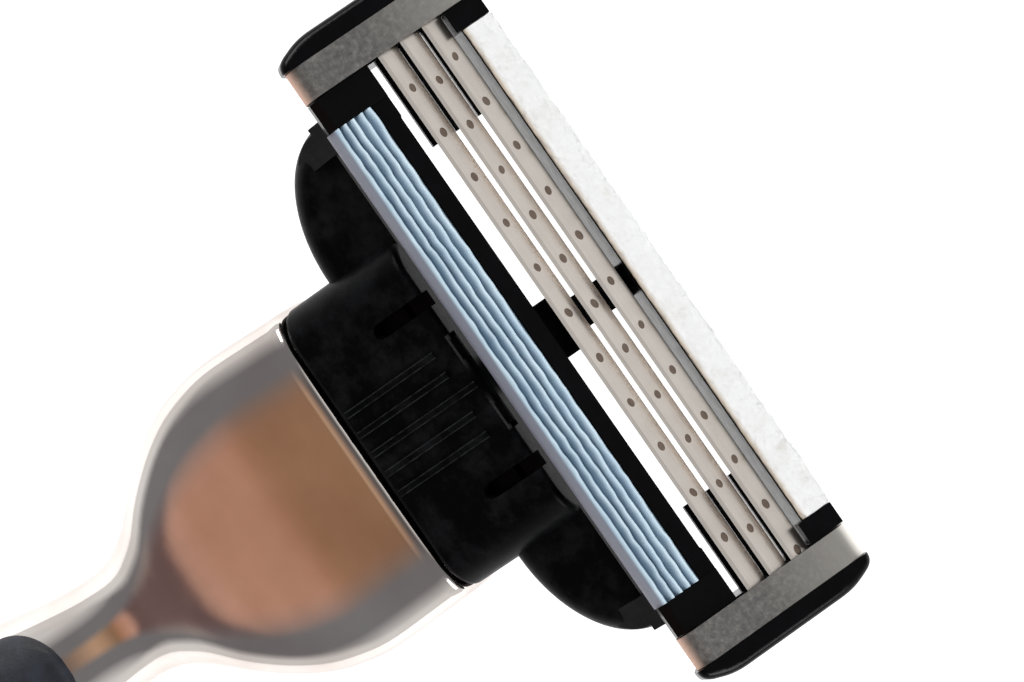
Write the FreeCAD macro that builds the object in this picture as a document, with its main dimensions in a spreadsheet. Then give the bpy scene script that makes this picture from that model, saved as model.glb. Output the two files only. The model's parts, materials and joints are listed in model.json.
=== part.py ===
"""Cartridge razor: a three-blade pivoting cartridge on a plated handle with rubber grips.

The razor lies on its back: +Y runs from the butt of the handle to the cartridge, +X runs along the
blades and +Z is up. The origin is on the surface that it lies on, at the middle of its length.

Three frames are used. The handle is drawn in the razor's own frame. What docks in the head is drawn in
the dock frame, whose Y runs along the docking axis from the rim of the head towards the cartridge and
whose Z points out of the head's front. The cartridge is drawn in its own frame, whose Y runs from the
guard to the cap and whose Z points out of the shaving face.
"""

import FreeCAD, Part
import math
import os
import re

import Sketcher

V = FreeCAD.Vector
DOC = FreeCAD.newDocument("razor")
SHEET = DOC.addObject("Spreadsheet::Sheet", "Dims")

DIMENSIONS = [
    # the pose of the head and of the cartridge
    ("head_pitch", 20.0, "angle of the docking axis above the surface, degrees"),
    ("face_pitch", 33.0, "angle between the docking axis and the shaving face, degrees"),
    ("rim_place", 51.2, "Y of the middle of the head's rim"),
    ("spine_height", 5.4, "height of the straight part of the handle's middle line"),
    ("neck_radius", 70.0, "radius of the bend between the head and the grip"),
    ("head_straight", 14.0, "length of the head before the bend"),
    ("face_ahead", 10.27, "dock frame Y of the guard's front at the shaving face"),
    ("face_above", 6.2, "dock frame Z of the guard's front at the shaving face"),
    # the cartridge housing
    ("inner_half", 17.4, "half the open length between the end blocks"),
    ("clip_outer", 19.5, "half the length to the outer edge of the clips"),
    ("cap_outer", 20.75, "half the length over the end caps"),
    ("cap_corner", 2.6, "how far from the housing's front and back the end caps start to turn in"),
    ("cap_edge", 0.45, "radius around the end caps' faces"),
    ("taper_from", 1.0, "depth at which the housing's front and back start to lean in"),
    ("front_lean", 1.0, "how far its front leans in at its floor"),
    ("back_lean", 0.5, "how far its back leans in at its floor"),
    ("cart_width", 11.4, "guard to cap, over the clips"),
    ("body_floor", 4.4, "depth of the housing below the face"),
    ("guard_front", 0.3, "front of the guard bar"),
    ("guard_back", 4.05, "back of the guard bar"),
    ("guard_wide", 4.12, "back of the guard bar at its thick ends"),
    ("wide_from", 14.2, "where the thick ends of the guard bar start"),
    ("guard_seat", 1.35, "depth of the seat under the fins"),
    ("rear_front", 9.4, "front of the rear bar"),
    ("rear_back", 11.15, "back of the rear bar"),
    ("strip_seat", 1.0, "depth of the seat under the lubricating strip"),
    ("rib_half", 0.95, "half the width of the middle rib"),
    ("rib_top", 3.3, "depth of the middle rib's top"),
    ("end_top", 0.2, "depth of the end blocks' top, under the clips"),
    ("wall_outer", 18.85, "where the blade slots in the end blocks end"),
    # blades
    ("blade_edge", 4.85, "cartridge Y of the first cutting edge"),
    ("blade_pitch", 1.44, "distance between cutting edges"),
    ("blade_tilt", 22.0, "angle of the blades below the face, degrees"),
    ("blade_width", 1.33, "width of a blade strip"),
    ("blade_thick", 0.1, "thickness of a blade strip"),
    ("blade_half", 18.6, "half the length of a blade"),
    ("bevel", 0.22, "width of the ground bevels"),
    ("edge_one", -0.16, "height of the first edge over the face"),
    ("edge_two", -0.12, "height of the second edge over the face"),
    ("edge_three", -0.06, "height of the third edge over the face"),
    ("support_thick", 0.18, "thickness of a blade support"),
    ("support_from", 0.36, "distance from the edge to the support's front"),
    ("support_foot", 2.85, "depth of the supports' lower edge"),
    ("blade_travel", 0.3, "how far a blade can sink"),
    ("finger_length", 5.55, "length of the spring fingers"),
    ("finger_width", 0.8, "width of the spring fingers"),
    ("finger_thick", 0.45, "thickness of the spring fingers"),
    ("finger_lead", 0.15, "how far the first fingers reach in front of their edge"),
    ("finger_less", 0.06, "how much less each later finger reaches"),
    ("finger_drop", 0.8, "depth of the fingers' tops below the face, less the blades' travel"),
    # guard fins and lubricating strip
    ("fin_half", 15.5, "half the length of the fins"),
    ("fin_count", 5, "number of fins"),
    ("fin_first", 0.8, "cartridge Y of the first crest"),
    ("fin_top", 0.12, "depth of the first fin's crest below the face"),
    ("fin_rise", 0.02, "how much higher each next crest is"),
    ("fin_pitch", 0.52, "distance between crests"),
    ("fin_depth", 0.42, "depth of the grooves between fins"),
    ("fin_back", 3.05, "back of the fins"),
    ("strip_half", 16.1, "half the length of the lubricating strip"),
    ("strip_front", 9.5, "front of the lubricating strip"),
    ("strip_back", 11.4, "back of the lubricating strip"),
    ("strip_top", 0.12, "height of the lubricating strip over the face"),
    # clips
    ("clip_inner", 17.5, "inner edge of the clips"),
    ("clip_thick", 0.25, "thickness of the clips"),
    ("clip_top", 0.25, "height of the clips over the face"),
    ("clip_bend", 1.15, "outer radius of the clips' bends"),
    ("clip_tail", 2.1, "length of the clips' tails under the housing"),
    # pivot
    ("pivot_back", 1.9, "cartridge Y of the pivot axis"),
    ("pivot_deep", 3.0, "depth of the pivot axis below the face"),
    ("pin_radius", 0.7, "radius of the trunnions"),
    ("bore_radius", 0.75, "radius of their bores"),
    ("lug_inner", 14.6, "inner face of the pivot lugs"),
    ("lug_outer", 16.6, "outer face of the pivot lugs"),
    ("lug_radius", 1.1, "radius of the pivot lugs"),
    ("lug_swing", 0.55, "room for the housing to swing past the lugs"),
    ("pin_end", 18.1, "outer end of the trunnions"),
    # connector
    ("shell_half", 9.2, "half the width of the connector"),
    ("shell_deep", 3.6, "half the thickness of the connector"),
    ("shell_long", 8.3, "length of the connector"),
    ("shell_round", 2.2, "corner radius of the connector"),
    ("recess_half", 7.35, "half the width of its recess"),
    ("recess_deep", 2.6, "half the thickness of its recess"),
    ("recess_long", 6.9, "depth of its recess"),
    ("wing_reach", 7.4, "how far each wing stands out"),
    ("wing_drop", 5.0, "how far each wing reaches back"),
    ("wing_ahead", 8.05, "dock frame Y of the wings' middle"),
    ("arm_inset", 0.35, "how far the lugs keep inside the wings' outline"),
    ("wing_top", 2.2, "front of the wings"),
    ("wing_under", -1.2, "back of the wings"),
    ("tongue_half", 4.86, "half the width of the latch tongue"),
    ("tongue_slot", 0.9, "width of the slots beside it"),
    ("tongue_from", 4.65, "where these slots start"),
    ("notch_long", 0.23, "length of the notch in the tongue's front"),
    ("rib_wide", 0.4, "width of the ribs on the tongue"),
    ("rib_space", 1.3, "distance between these ribs"),
    ("rib_high", 0.15, "height of these ribs"),
    # carrier, plunger, spring and ejector
    ("nib_half", 7.25, "half the width of the carrier's nib"),
    ("nib_deep", 2.5, "half the thickness of the nib"),
    ("nib_long", 6.5, "length of the nib in front of the rim"),
    ("nib_rear", 4.6, "length of the carrier behind the rim"),
    ("axis_low", -0.6, "dock frame Z of the plunger's axis"),
    ("stem_radius", 1.2, "radius of the plunger's stem and tip"),
    ("collar_radius", 1.7, "radius of the plunger's collar"),
    ("slide_gap", 0.05, "radial clearance of what slides in the carrier"),
    ("tip_middle", 10.34, "dock frame Y of the middle of the round tip"),
    ("stop_face", 4.5, "dock frame Y of the shoulder in the bore"),
    ("collar_long", 0.75, "length of the collar"),
    ("spring_seat", -9.0, "dock frame Y of the spring's rear seat"),
    ("spring_mean", 1.27, "mean radius of the spring"),
    ("wire_radius", 0.17, "radius of the spring's wire"),
    ("spring_turns", 8, "turns of the spring"),
    ("spring_slack", 0.08, "gap between the spring's ends and their seats"),
    ("prong_inner", 4.2, "inner face of the ejector's prongs"),
    ("prong_outer", 5.6, "outer face of the ejector's prongs"),
    ("prong_end", 6.75, "dock frame Y of the prongs' front"),
    ("bridge_rear", -13.4, "dock frame Y of the ejector's rear"),
    ("bridge_long", 1.4, "length of the ejector's bridge"),
    ("eject_travel", 7.0, "travel of the eject button"),
    ("button_half", 3.4, "half the width of the eject button"),
    ("button_rear", -15.0, "dock frame Y of the button's rear"),
    ("button_long", 5.4, "length of the button"),
    ("button_thick", 1.0, "thickness of the button"),
    ("button_skin", -3.88, "dock frame Z of the button's inner face"),
    # handle
    ("cavity_half", 7.3, "half the width of the cavity in the head"),
    ("cavity_deep", 2.55, "half the thickness of the cavity"),
    ("grip_proud", 0.35, "how far the grips stand out of the handle"),
    ("front_floor", 7.0, "height of the front grip's floor"),
    ("back_floor", 3.6, "height of the back grip's ceiling"),
    ("butt_length", 9.0, "length of the end cap"),
    ("plug_radius", 1.7, "radius of the end cap's plug"),
    ("plug_length", 6.0, "length of the end cap's plug"),
]
for row, (alias, value, note) in enumerate(DIMENSIONS, start=1):
    SHEET.set(f"A{row}", alias)
    SHEET.set(f"B{row}", str(value))
    SHEET.set(f"C{row}", note)
    SHEET.setAlias(f"B{row}", alias)
DOC.recompute()

NAMES = {alias for alias, _, _ in DIMENSIONS}
SIDES = (("left", -1), ("right", 1))
NODES = {}

# Sections of the handle: distance behind the rim, width, thickness and squareness (2 is an ellipse).
HANDLE_SECTIONS = [
    (0.15, 18.9, 7.4, 5.0),
    (3.0, 19.2, 7.5, 5.0),
    (6.0, 19.4, 7.6, 5.0),
    (8.0, 19.0, 7.6, 4.8),
    (10.1, 17.9, 7.6, 4.6),
    (12.2, 15.8, 7.6, 4.4),
    (14.3, 13.0, 7.5, 4.0),
    (16.3, 10.1, 7.2, 3.2),
    (18.4, 7.9, 6.8, 2.6),
    (20.5, 7.1, 6.6, 2.4),
    (23.5, 7.5, 6.8, 2.3),
    (28.0, 9.0, 7.8, 2.4),
    (34.0, 10.8, 9.2, 2.5),
    (42.0, 12.6, 10.8, 2.6),
    (54.0, 13.8, 11.6, 2.7),
    (72.0, 13.8, 11.7, 2.7),
    (90.0, 12.8, 11.5, 2.7),
    (104.0, 11.6, 11.1, 2.6),
    (114.0, 10.6, 10.2, 2.5),
    (119.0, 9.4, 9.0, 2.4),
    (121.6, 7.6, 7.2, 2.2),
    (122.8, 4.6, 4.4, 2.0),
]
SECTION_POINTS = 32
ARM_PRISM_HALF = 9


def size(text):
    """The value of an expression of the sheet's names, in millimetres or degrees."""
    return float(SHEET.evalExpression(str(text)))


def bound(text):
    """The expression with each of the sheet's names written as another object needs it."""
    return re.sub(r"[a-z_]+", lambda m: f"Dims.{m[0]}" if m[0] in NAMES else m[0], str(text))


def bind(item, prop, text):
    item.setExpression(prop, bound(text))


def place(item, x, y, z):
    for axis, text in zip("xyz", (x, y, z)):
        bind(item, f"Placement.Base.{axis}", text)


def block(name, x, y, z):
    """A box from three pairs of expressions, each a low and a high side."""
    item = DOC.addObject("Part::Box", name)
    for prop, (low, high) in zip(("Length", "Width", "Height"), (x, y, z)):
        bind(item, prop, f"({high}) - ({low})")
    place(item, x[0], y[0], z[0])
    return item


def rod(name, radius, length, x, y, z, axis):
    """A cylinder from a point, along +X, -X, +Y or +Z."""
    item = DOC.addObject("Part::Cylinder", name)
    bind(item, "Radius", radius)
    bind(item, "Height", length)
    turn = {"+X": (V(0, 1, 0), 90), "-X": (V(0, 1, 0), -90), "+Y": (V(1, 0, 0), -90), "+Z": (V(0, 0, 1), 0)}
    item.Placement = FreeCAD.Placement(V(), FreeCAD.Rotation(*turn[axis]))
    place(item, x, y, z)
    return item


def fuse(name, *items):
    if len(items) == 1:
        return items[0]
    item = DOC.addObject("Part::MultiFuse", name)
    item.Shapes = list(items)
    return item


def cut(name, base, *tools):
    item = DOC.addObject("Part::Cut", name)
    item.Base = base
    item.Tool = fuse(f"{name}_tools", *tools)
    return item


def common(name, base, tool):
    item = DOC.addObject("Part::Common", name)
    item.Base = base
    item.Tool = tool
    return item


def near(edge, points, reach=0.05):
    """True if the edge's middle, seen along X, is at one of the points."""
    middle = edge.BoundBox.Center
    return any(math.hypot(middle.y - y, middle.z - z) < reach for y, z in points)


def rounded(name, base, radius, chosen):
    """Part::Fillet on the edges of base for which chosen(edge) is true."""
    DOC.recompute()
    item = DOC.addObject("Part::Fillet", name)
    item.Base = base
    found = [n for n, edge in enumerate(base.Shape.Edges, start=1) if chosen(edge)]
    item.Edges = [(n, size(radius), size(radius)) for n in found]
    return item


def along_x(edge):
    box = edge.BoundBox
    return box.YLength < 1e-4 and box.ZLength < 1e-4 and box.XLength > 1e-3


def along_y(edge):
    box = edge.BoundBox
    return box.XLength < 1e-4 and box.ZLength < 1e-4 and box.YLength > 1e-3


def profile(body, name, points):
    """A closed sketch on the body's YZ plane. Each corner is a pair of expressions, bound to the sheet."""
    sketch = body.newObject("Sketcher::SketchObject", name)
    plane = next(f for f in body.Origin.OriginFeatures if f.Role == "YZ_Plane")
    sketch.AttachmentSupport = [(plane, "")]
    sketch.MapMode = "FlatFace"
    corners = [V(size(y), size(z), 0) for y, z in points]
    for start, end in zip(corners, corners[1:] + corners[:1]):
        sketch.addGeometry(Part.LineSegment(start, end), False)
    for n, (y, z) in enumerate(points):
        sketch.addConstraint(Sketcher.Constraint("Coincident", n - 1 if n else len(points) - 1, 2, n, 1))
        for kind, text, value in (("DistanceX", y, corners[n].x), ("DistanceY", z, corners[n].y)):
            index = sketch.addConstraint(Sketcher.Constraint(kind, -1, 1, n, 1, value))
            sketch.setExpression(f"Constraints[{index}]", bound(text))
    return sketch


def bar(name, points, low, high):
    """A PartDesign body: a profile in the YZ plane, padded along X from low to high."""
    body = DOC.addObject("PartDesign::Body", name)
    sketch = profile(body, f"{name}_profile", points)
    sketch.AttachmentOffset.Base = V(0, 0, 0)
    sketch.setExpression("AttachmentOffset.Base.z", bound(low))
    pad = body.newObject("PartDesign::Pad", f"{name}_pad")
    pad.Profile = sketch
    bind(pad, "Length", f"({high}) - ({low})")
    DOC.recompute()
    return body


def soften(body, radius, chosen):
    """A PartDesign fillet on the edges of the body's tip for which chosen(edge) is true."""
    tip = body.Tip
    found = [f"Edge{n}" for n, edge in enumerate(tip.Shape.Edges, start=1) if chosen(edge)]
    item = body.newObject("PartDesign::Fillet", f"{body.Name}_round")
    item.Base = (tip, found)
    bind(item, "Radius", radius)
    DOC.recompute()
    return item


def dock_placement():
    turn = FreeCAD.Rotation(V(1, 0, 0), size("head_pitch"))
    drop = size("neck_radius") * (1 - math.cos(math.radians(size("head_pitch"))))
    drop += size("head_straight") * math.sin(math.radians(size("head_pitch")))
    return FreeCAD.Placement(V(0, size("rim_place"), size("spine_height") + drop), turn)


def cartridge_placement():
    local = FreeCAD.Placement(
        V(0, size("face_ahead"), size("face_above")), FreeCAD.Rotation(V(1, 0, 0), -size("face_pitch"))
    )
    return dock_placement().multiply(local)


def node(name, item, placement=None):
    """Makes item one of the razor's sub-parts, under its own label, in its place."""
    item.Label = name
    if placement is not None:
        item.Placement = placement.multiply(item.Placement)
    NODES[name] = item


# ------------------------------------------------------------------ cartridge


def make_housing():
    """Guard bar, rear bar, end blocks with their blade slots, middle rib and spring fingers."""
    floor = "-body_floor"
    guard = bar(
        "guard_bar",
        [
            ("guard_front", "-guard_seat"),
            ("guard_front + front_lean + 0.1", floor),
            ("guard_back", floor),
            ("guard_back", "-0.42"),
            ("fin_back + 0.04", "-0.42"),
            ("fin_back + 0.04", "-guard_seat"),
        ],
        "-inner_half",
        "inner_half",
    )
    rear = bar(
        "rear_bar",
        [
            ("rear_front", "-0.12"),
            ("rear_front", floor),
            ("rear_back - 0.8", floor),
            ("rear_back", "0.8 - body_floor"),
            ("rear_back", "-strip_seat"),
            ("strip_front - 0.03", "-strip_seat"),
            ("strip_front - 0.03", "-0.12"),
        ],
        "-inner_half",
        "inner_half",
    )
    rib = block("middle_rib", ("-rib_half", "rib_half"), ("guard_back", "rear_front"), (floor, "-rib_top"))
    cam = block("cam_pad", ("-1.7", "1.7"), ("3.0", "6.2"), (floor, "-rib_top"))
    pieces = [guard, rear, rib, cam]
    slots = []
    for side, sign in SIDES:
        pieces += make_end(side, sign)
        slots += cut_end(side, sign)
    cuts = slots + [block("fin_nest", ("-fin_half", "fin_half"), ("-1", "fin_back + 0.04"), ("-guard_seat", "1"))]
    cuts.append(
        block("strip_nest", ("-strip_half - 0.03", "strip_half + 0.03"),
              ("strip_front - 0.03", "rear_back + 1"), ("-strip_seat", "1"))
    )
    cuts += make_tapers()
    node("housing", cut("housing", fuse("housing_solid", *pieces), *cuts), cartridge_placement())


def make_end(side, sign):
    """One end of the housing: the block under the clip, the end cap, the guard's end and the strip's post."""

    def span(inner, outer):
        return (inner, outer) if sign > 0 else (f"-({outer})", f"-({inner})")

    low, high = span("inner_half", "clip_outer + 0.1")
    end_block = bar(
        f"end_block_{side}",
        [
            ("0.25", "-end_top"),
            ("0.25 + front_lean", "0.05 - body_floor"),
            ("cart_width - 0.25 - back_lean", "0.05 - body_floor"),
            ("cart_width - 0.25", "-end_top"),
        ],
        low,
        high,
    )
    soften(end_block, "clip_bend - clip_thick + 0.05", along_x)
    cap_plan = make_cap(side, sign)

    def rim(edge):
        box = edge.BoundBox
        inner_face = abs(box.Center.x - sign * size("clip_outer")) < 1e-3 and box.XLength < 1e-4
        return box.ZLength < 1e-3 and not inner_face

    cap_round = rounded(f"cap_round_{side}", cap_plan, "cap_edge", rim)
    made = [end_block, cap_round]
    low, high = span("fin_half", "inner_half")
    made.append(
        bar(
            f"guard_end_{side}",
            [
                ("guard_front", "-0.55"),
                ("guard_front", "-guard_seat - 0.1"),
                ("guard_wide", "-guard_seat - 0.1"),
                ("guard_wide", "-0.32"),
                ("guard_front + 0.5", "-0.2"),
            ],
            low,
            high,
        )
    )
    made.append(make_thick_end(side, sign))
    low, high = span("strip_half + 0.03", "inner_half")
    made.append(
        block(f"post_{side}", (low, high), ("rear_front - 0.3", "rear_back + 0.1"), ("-strip_seat - 0.2", "0.06"))
    )
    for n in range(3):
        made.append(make_finger(side, sign, n))
    return made


def make_cap(side, sign):
    """The form that closes the end of the housing, with a plan like a D."""
    wide, back = size("cap_outer - clip_outer"), size("cart_width")
    inner, corner = sign * size("clip_outer"), size("cap_corner")
    outer = inner + sign * wide
    half_root = math.sqrt(0.5)
    front_mid = V(inner + sign * wide * half_root, corner - corner * half_root, 0)
    back_mid = V(inner + sign * wide * half_root, back - corner + corner * half_root, 0)

    def corner_curve(first, middle, last, leaving, arriving):
        curve = Part.BSplineCurve()
        curve.interpolate([first, middle, last], InitialTangent=leaving, FinalTangent=arriving)
        return curve.toShape()

    points = [V(inner, 0, 0), V(outer, corner, 0), V(outer, back - corner, 0), V(inner, back, 0)]
    edges = [
        corner_curve(points[0], front_mid, points[1], V(sign, 0, 0), V(0, 1, 0)),
        Part.makeLine(points[1], points[2]),
        corner_curve(points[2], back_mid, points[3], V(0, 1, 0), V(-sign, 0, 0)),
        Part.makeLine(points[3], points[0]),
    ]
    item = DOC.addObject("Part::Feature", f"cap_{side}")
    item.Shape = Part.Face(Part.Wire(edges)).extrude(V(0, 0, size("clip_top + 0.02 + body_floor + 0.1")))
    item.Placement.Base = V(0, 0, size("-body_floor - 0.1"))
    return item


def make_tapers():
    """What is taken off the front and the back of the housing, which lean in towards its floor."""
    low = "-body_floor - 0.6"
    front = [("-2", "-taper_from"), ("0", "-taper_from"), ("front_lean", low), ("-2", low)]
    back = [
        ("cart_width + 2", "-taper_from"),
        ("cart_width", "-taper_from"),
        ("cart_width - back_lean", low),
        ("cart_width + 2", low),
    ]
    return [bar("front_taper", front, "-25", "25"), bar("back_taper", back, "-25", "25")]


def make_thick_end(side, sign):
    """The thicker end of the guard bar, with the slanting step where it starts."""
    item = DOC.addObject("Part::Wedge", f"guard_step_{side}")
    values = {
        "Xmin": "0",
        "Xmax": "inner_half - wide_from + 0.3",
        "X2min": "0.3",
        "X2max": "inner_half - wide_from + 0.3",
        "Ymin": "0",
        "Ymax": "guard_wide - guard_back + 0.1",
        "Zmin": "0",
        "Zmax": "1.3",
        "Z2min": "0",
        "Z2max": "1.3",
    }
    for prop, text in values.items():
        bind(item, prop, text)
    if sign > 0:
        place(item, "wide_from - 0.3", "guard_back - 0.1", "-1.72")
        return item
    mirrored = DOC.addObject("Part::Mirroring", f"guard_step_mirror_{side}")
    mirrored.Source = item
    mirrored.Normal = V(1, 0, 0)
    place(item, "wide_from - 0.3", "guard_back - 0.1", "-1.72")
    return mirrored


def blade_place(n):
    """Expressions for the place of cutting edge n: cartridge Y and Z."""
    return f"(blade_edge + {n} * blade_pitch)", ("edge_one", "edge_two", "edge_three")[n]


def make_finger(side, sign, n):
    """A moulded spring finger, which runs in from the end block under the front of a blade."""
    edge_y, _ = blade_place(n)
    inner, outer = "inner_half - finger_length", "inner_half + 0.1"
    x = (inner, outer) if sign > 0 else (f"-({outer})", f"-({inner})")
    top = "-finger_drop - blade_travel"
    front = f"{edge_y} - finger_lead + {n} * finger_less"
    y = (front, f"{front} + finger_width")
    return block(f"finger_{side}_{n + 1}", x, y, (f"{top} - finger_thick", top))


def cut_end(side, sign):
    """What is taken out of one end: the blades' slots, the arm's slot and the trunnion's bore."""
    root = "inner_half - 0.05"
    x = (root, "wall_outer") if sign > 0 else ("-wall_outer", f"-({root})")
    made = []
    for n in range(3):
        edge_y, _ = blade_place(n)
        made.append(
            block(f"blade_slot_{side}_{n + 1}", x, (f"{edge_y} - 0.12", f"{edge_y} + blade_width - 0.02"),
                  ("-1.02 - blade_travel", "1"))
        )
        heel = f"{edge_y} + blade_width * cos(blade_tilt) - support_thick"
        made.append(
            block(f"foot_slot_{side}_{n + 1}", x, (f"{heel} - 0.12", f"{heel} + support_thick + 0.06"),
                  ("-support_foot - blade_travel - 0.06", "1"))
        )
    gap = 0.1
    x = (f"lug_inner - {gap}", f"lug_outer + {gap}")
    if sign < 0:
        x = (f"-(lug_outer + {gap})", f"-(lug_inner - {gap})")
    made.append(block(f"arm_slot_{side}", x, ("-1", "pivot_back + lug_radius + lug_swing"), ("-6", "-1.72")))
    axis = "+X" if sign > 0 else "-X"
    made.append(
        rod(f"bore_{side}", "bore_radius", "pin_end - lug_outer + 0.1",
            f"{sign} * lug_outer", "pivot_back", "-pivot_deep", axis)
    )
    return made


def make_fins():
    """The soft guard: a base on the guard bar with rows of fins along the blades."""
    points = [("0.06", "-1.3"), ("0.02", "-1.15"), ("0.62", "-0.3")]
    count = int(size("fin_count"))
    for n in range(count):
        top = f"fin_first + {n} * fin_pitch"
        rise = f"{n} * fin_rise - fin_top"
        points.append((f"{top} - 0.05", rise))
        points.append((f"{top} + 0.05", rise))
        if n < count - 1:
            points.append((f"{top} + 0.13", f"{rise} - fin_depth"))
            points.append((f"{top} + 0.23", f"{rise} - fin_depth"))
    points += [("fin_back", "-0.5"), ("fin_back", "-guard_seat"), ("guard_front", "-guard_seat")]
    node("guard_fins", bar("guard_fins", points, "-fin_half", "fin_half"), cartridge_placement())


def make_strip():
    """The lubricating strip in its seat on the rear bar."""
    points = [
        ("strip_front", "-strip_seat"),
        ("strip_front", "-0.1"),
        ("strip_front + 0.25", "strip_top"),
        ("strip_back - 0.7", "strip_top"),
        ("strip_back", "-0.5"),
        ("strip_back", "-strip_seat"),
    ]
    node("lubricating_strip", bar("lubricating_strip", points, "-strip_half", "strip_half"), cartridge_placement())


def make_blades():
    """Each cutting edge is a ground strip, welded on the sloping top of a bent support."""
    slope_y, slope_z = "cos(blade_tilt)", "sin(blade_tilt)"

    def at(edge, along, down):
        """Expressions for the point that lies along the blade from its edge and down square to it."""
        y = f"{edge[0]} + ({along}) * {slope_y} - ({down}) * {slope_z}"
        z = f"{edge[1]} - ({along}) * {slope_z} - ({down}) * {slope_y}"
        return y, z

    for n in range(3):
        edge = blade_place(n)
        strip = [
            at(edge, "0", "blade_thick / 2"),
            at(edge, "bevel", "0"),
            at(edge, "blade_width", "0"),
            at(edge, "blade_width", "blade_thick"),
            at(edge, "bevel", "blade_thick"),
        ]
        node(f"blade_{n + 1}", bar(f"blade_{n + 1}", strip, "-blade_half", "blade_half"), cartridge_placement())
        rear = f"{edge[0]} + blade_width * {slope_y} - 0.08"
        # the sloping faces reach the upright ones at these distances along the slope
        outer = f"({rear} - ({edge[0]}) + blade_thick * {slope_z}) / {slope_y}"
        under = "blade_thick + support_thick"
        inner = f"({rear} - support_thick - ({edge[0]}) + ({under}) * {slope_z}) / {slope_y}"
        bent = [
            at(edge, "support_from", "blade_thick"),
            at(edge, outer, "blade_thick"),
            (rear, "-support_foot"),
            (f"{rear} - support_thick", "-support_foot"),
            at(edge, inner, under),
            at(edge, "support_from", under),
        ]
        body = bar(f"blade_support_{n + 1}", bent, "-blade_half + 0.1", "blade_half - 0.1")
        heel = [(size(y), size(z)) for y, z in (bent[1],)]
        crook = [(size(y), size(z)) for y, z in (bent[4],)]
        soften(body, "support_thick * 1.4", lambda edge: along_x(edge) and near(edge, heel))
        soften(body, "support_thick * 0.5", lambda edge: along_x(edge) and near(edge, crook))
        node(f"blade_support_{n + 1}", body, cartridge_placement())


def make_clips():
    """The metal clips that wrap each end of the housing and hold the blades down."""
    for side, sign in SIDES:
        top, under = "clip_top", "-body_floor - clip_thick + 0.05"
        back = "cart_width + 0.05"
        low_front, low_back = "(front_lean - 0.05)", f"({back} - back_lean)"
        points = [
            ("-0.05", top),
            (low_front, under),
            ("front_lean + clip_tail", under),
            ("front_lean + clip_tail", f"{under} + clip_thick"),
            (f"{low_front} + clip_thick", f"{under} + clip_thick"),
            ("clip_thick - 0.05", f"{top} - clip_thick"),
            (f"{back} - clip_thick", f"{top} - clip_thick"),
            (f"{low_back} - clip_thick", f"{under} + clip_thick"),
            (f"{low_back} - clip_tail", f"{under} + clip_thick"),
            (f"{low_back} - clip_tail", under),
            (low_back, under),
            (back, top),
        ]
        x = ("clip_inner", "clip_outer - 0.03") if sign > 0 else ("-clip_outer + 0.03", "-clip_inner")
        body = bar(f"clip_{side}", points, *x)
        outer = [(size(y), size(z)) for y, z in (points[0], points[1], points[10], points[11])]
        inner = [(size(y), size(z)) for y, z in (points[4], points[5], points[6], points[7])]
        soften(body, "clip_bend", lambda edge: along_x(edge) and near(edge, outer))
        soften(body, "clip_bend - clip_thick", lambda edge: along_x(edge) and near(edge, inner))
        node(f"clip_{side}", body, cartridge_placement())


# ------------------------------------------------------------------ connector


def make_connector():
    """The shell that docks on the handle, with its latch tongue, and two wings that carry the pivots."""
    shell = block("shell", ("-shell_half", "shell_half"), ("0", "shell_long"), ("-shell_deep", "shell_deep"))
    shell = rounded("shell_long_round", shell, "shell_round", along_y)
    shell = rounded("shell_end_round", shell, 0.4, lambda edge: edge.BoundBox.YLength < 1e-4)
    solid = [shell]
    for side, sign in SIDES:
        solid += [make_wing(side, sign), *make_lug(side, sign)]
    for n in range(-2, 3):
        high = "shell_long - notch_long" if n == 0 else "recess_long + 0.07"
        middle = f"({n} * rib_space)"
        solid.append(
            block(f"tongue_rib_{n + 3}", (f"{middle} - rib_wide / 2", f"{middle} + rib_wide / 2"),
                  ("0.45", high), ("shell_deep - 0.1", "shell_deep + rib_high"))
        )
    tools = [
        block("recess", ("-recess_half", "recess_half"), ("-1", "recess_long"), ("-recess_deep", "recess_deep")),
        rod("plunger_window", "stem_radius + 0.4", "3", "0", "recess_long - 1", "axis_low", "+Y"),
        block("tongue_notch", ("-3.1", "3.1"), ("shell_long - notch_long", "shell_long + 1"), ("recess_deep", "9")),
    ]
    for side, sign in SIDES:
        low, high = ("tongue_half", "tongue_half + tongue_slot")
        x = (low, high) if sign > 0 else (f"-({high})", f"-({low})")
        tools.append(
            block(f"tongue_slot_{side}", x, ("tongue_from + tongue_slot / 2", "shell_long + 1"),
                  ("recess_deep - 0.1", "9"))
        )
        tools.append(
            rod(f"slot_end_{side}", "tongue_slot / 2", "9", f"{sign} * (tongue_half + tongue_slot / 2)",
                "tongue_from + tongue_slot / 2", "recess_deep - 0.1", "+Z")
        )
    body = cut("connector_body", fuse("connector_solid", *solid), *tools)
    ramps = [body]
    for side, sign in SIDES:
        x = ("1.45", "2.8") if sign > 0 else ("-2.8", "-1.45")
        ramps.append(bar_between(f"latch_ramp_{side}", x))
    node("connector", fuse("connector", *ramps), dock_placement())


def bar_between(name, x):
    """A small wedge in the tongue's notch, whose slope faces the cartridge."""
    points = [
        ("shell_long - notch_long - 0.1", "recess_deep - 0.1"),
        ("shell_long - notch_long - 0.1", "shell_deep - 0.1"),
        ("shell_long - 0.03", "recess_deep + 0.1"),
        ("shell_long - 0.03", "recess_deep - 0.1"),
    ]
    return bar(name, points, *x)


def wing_outline(name, sign, inset, z):
    """The ellipse that the wings are cut from, turned so that it starts on the side that is cut away."""
    outline = DOC.addObject("Part::Ellipse", name)
    bind(outline, "MajorRadius", f"wing_reach - {inset}")
    bind(outline, "MinorRadius", f"wing_drop - {inset}")
    place(outline, f"{sign} * shell_half", "wing_ahead", z)
    outline.Placement.Rotation = FreeCAD.Rotation(V(0, 0, 1), 180 if sign > 0 else 0)
    return outline


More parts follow.
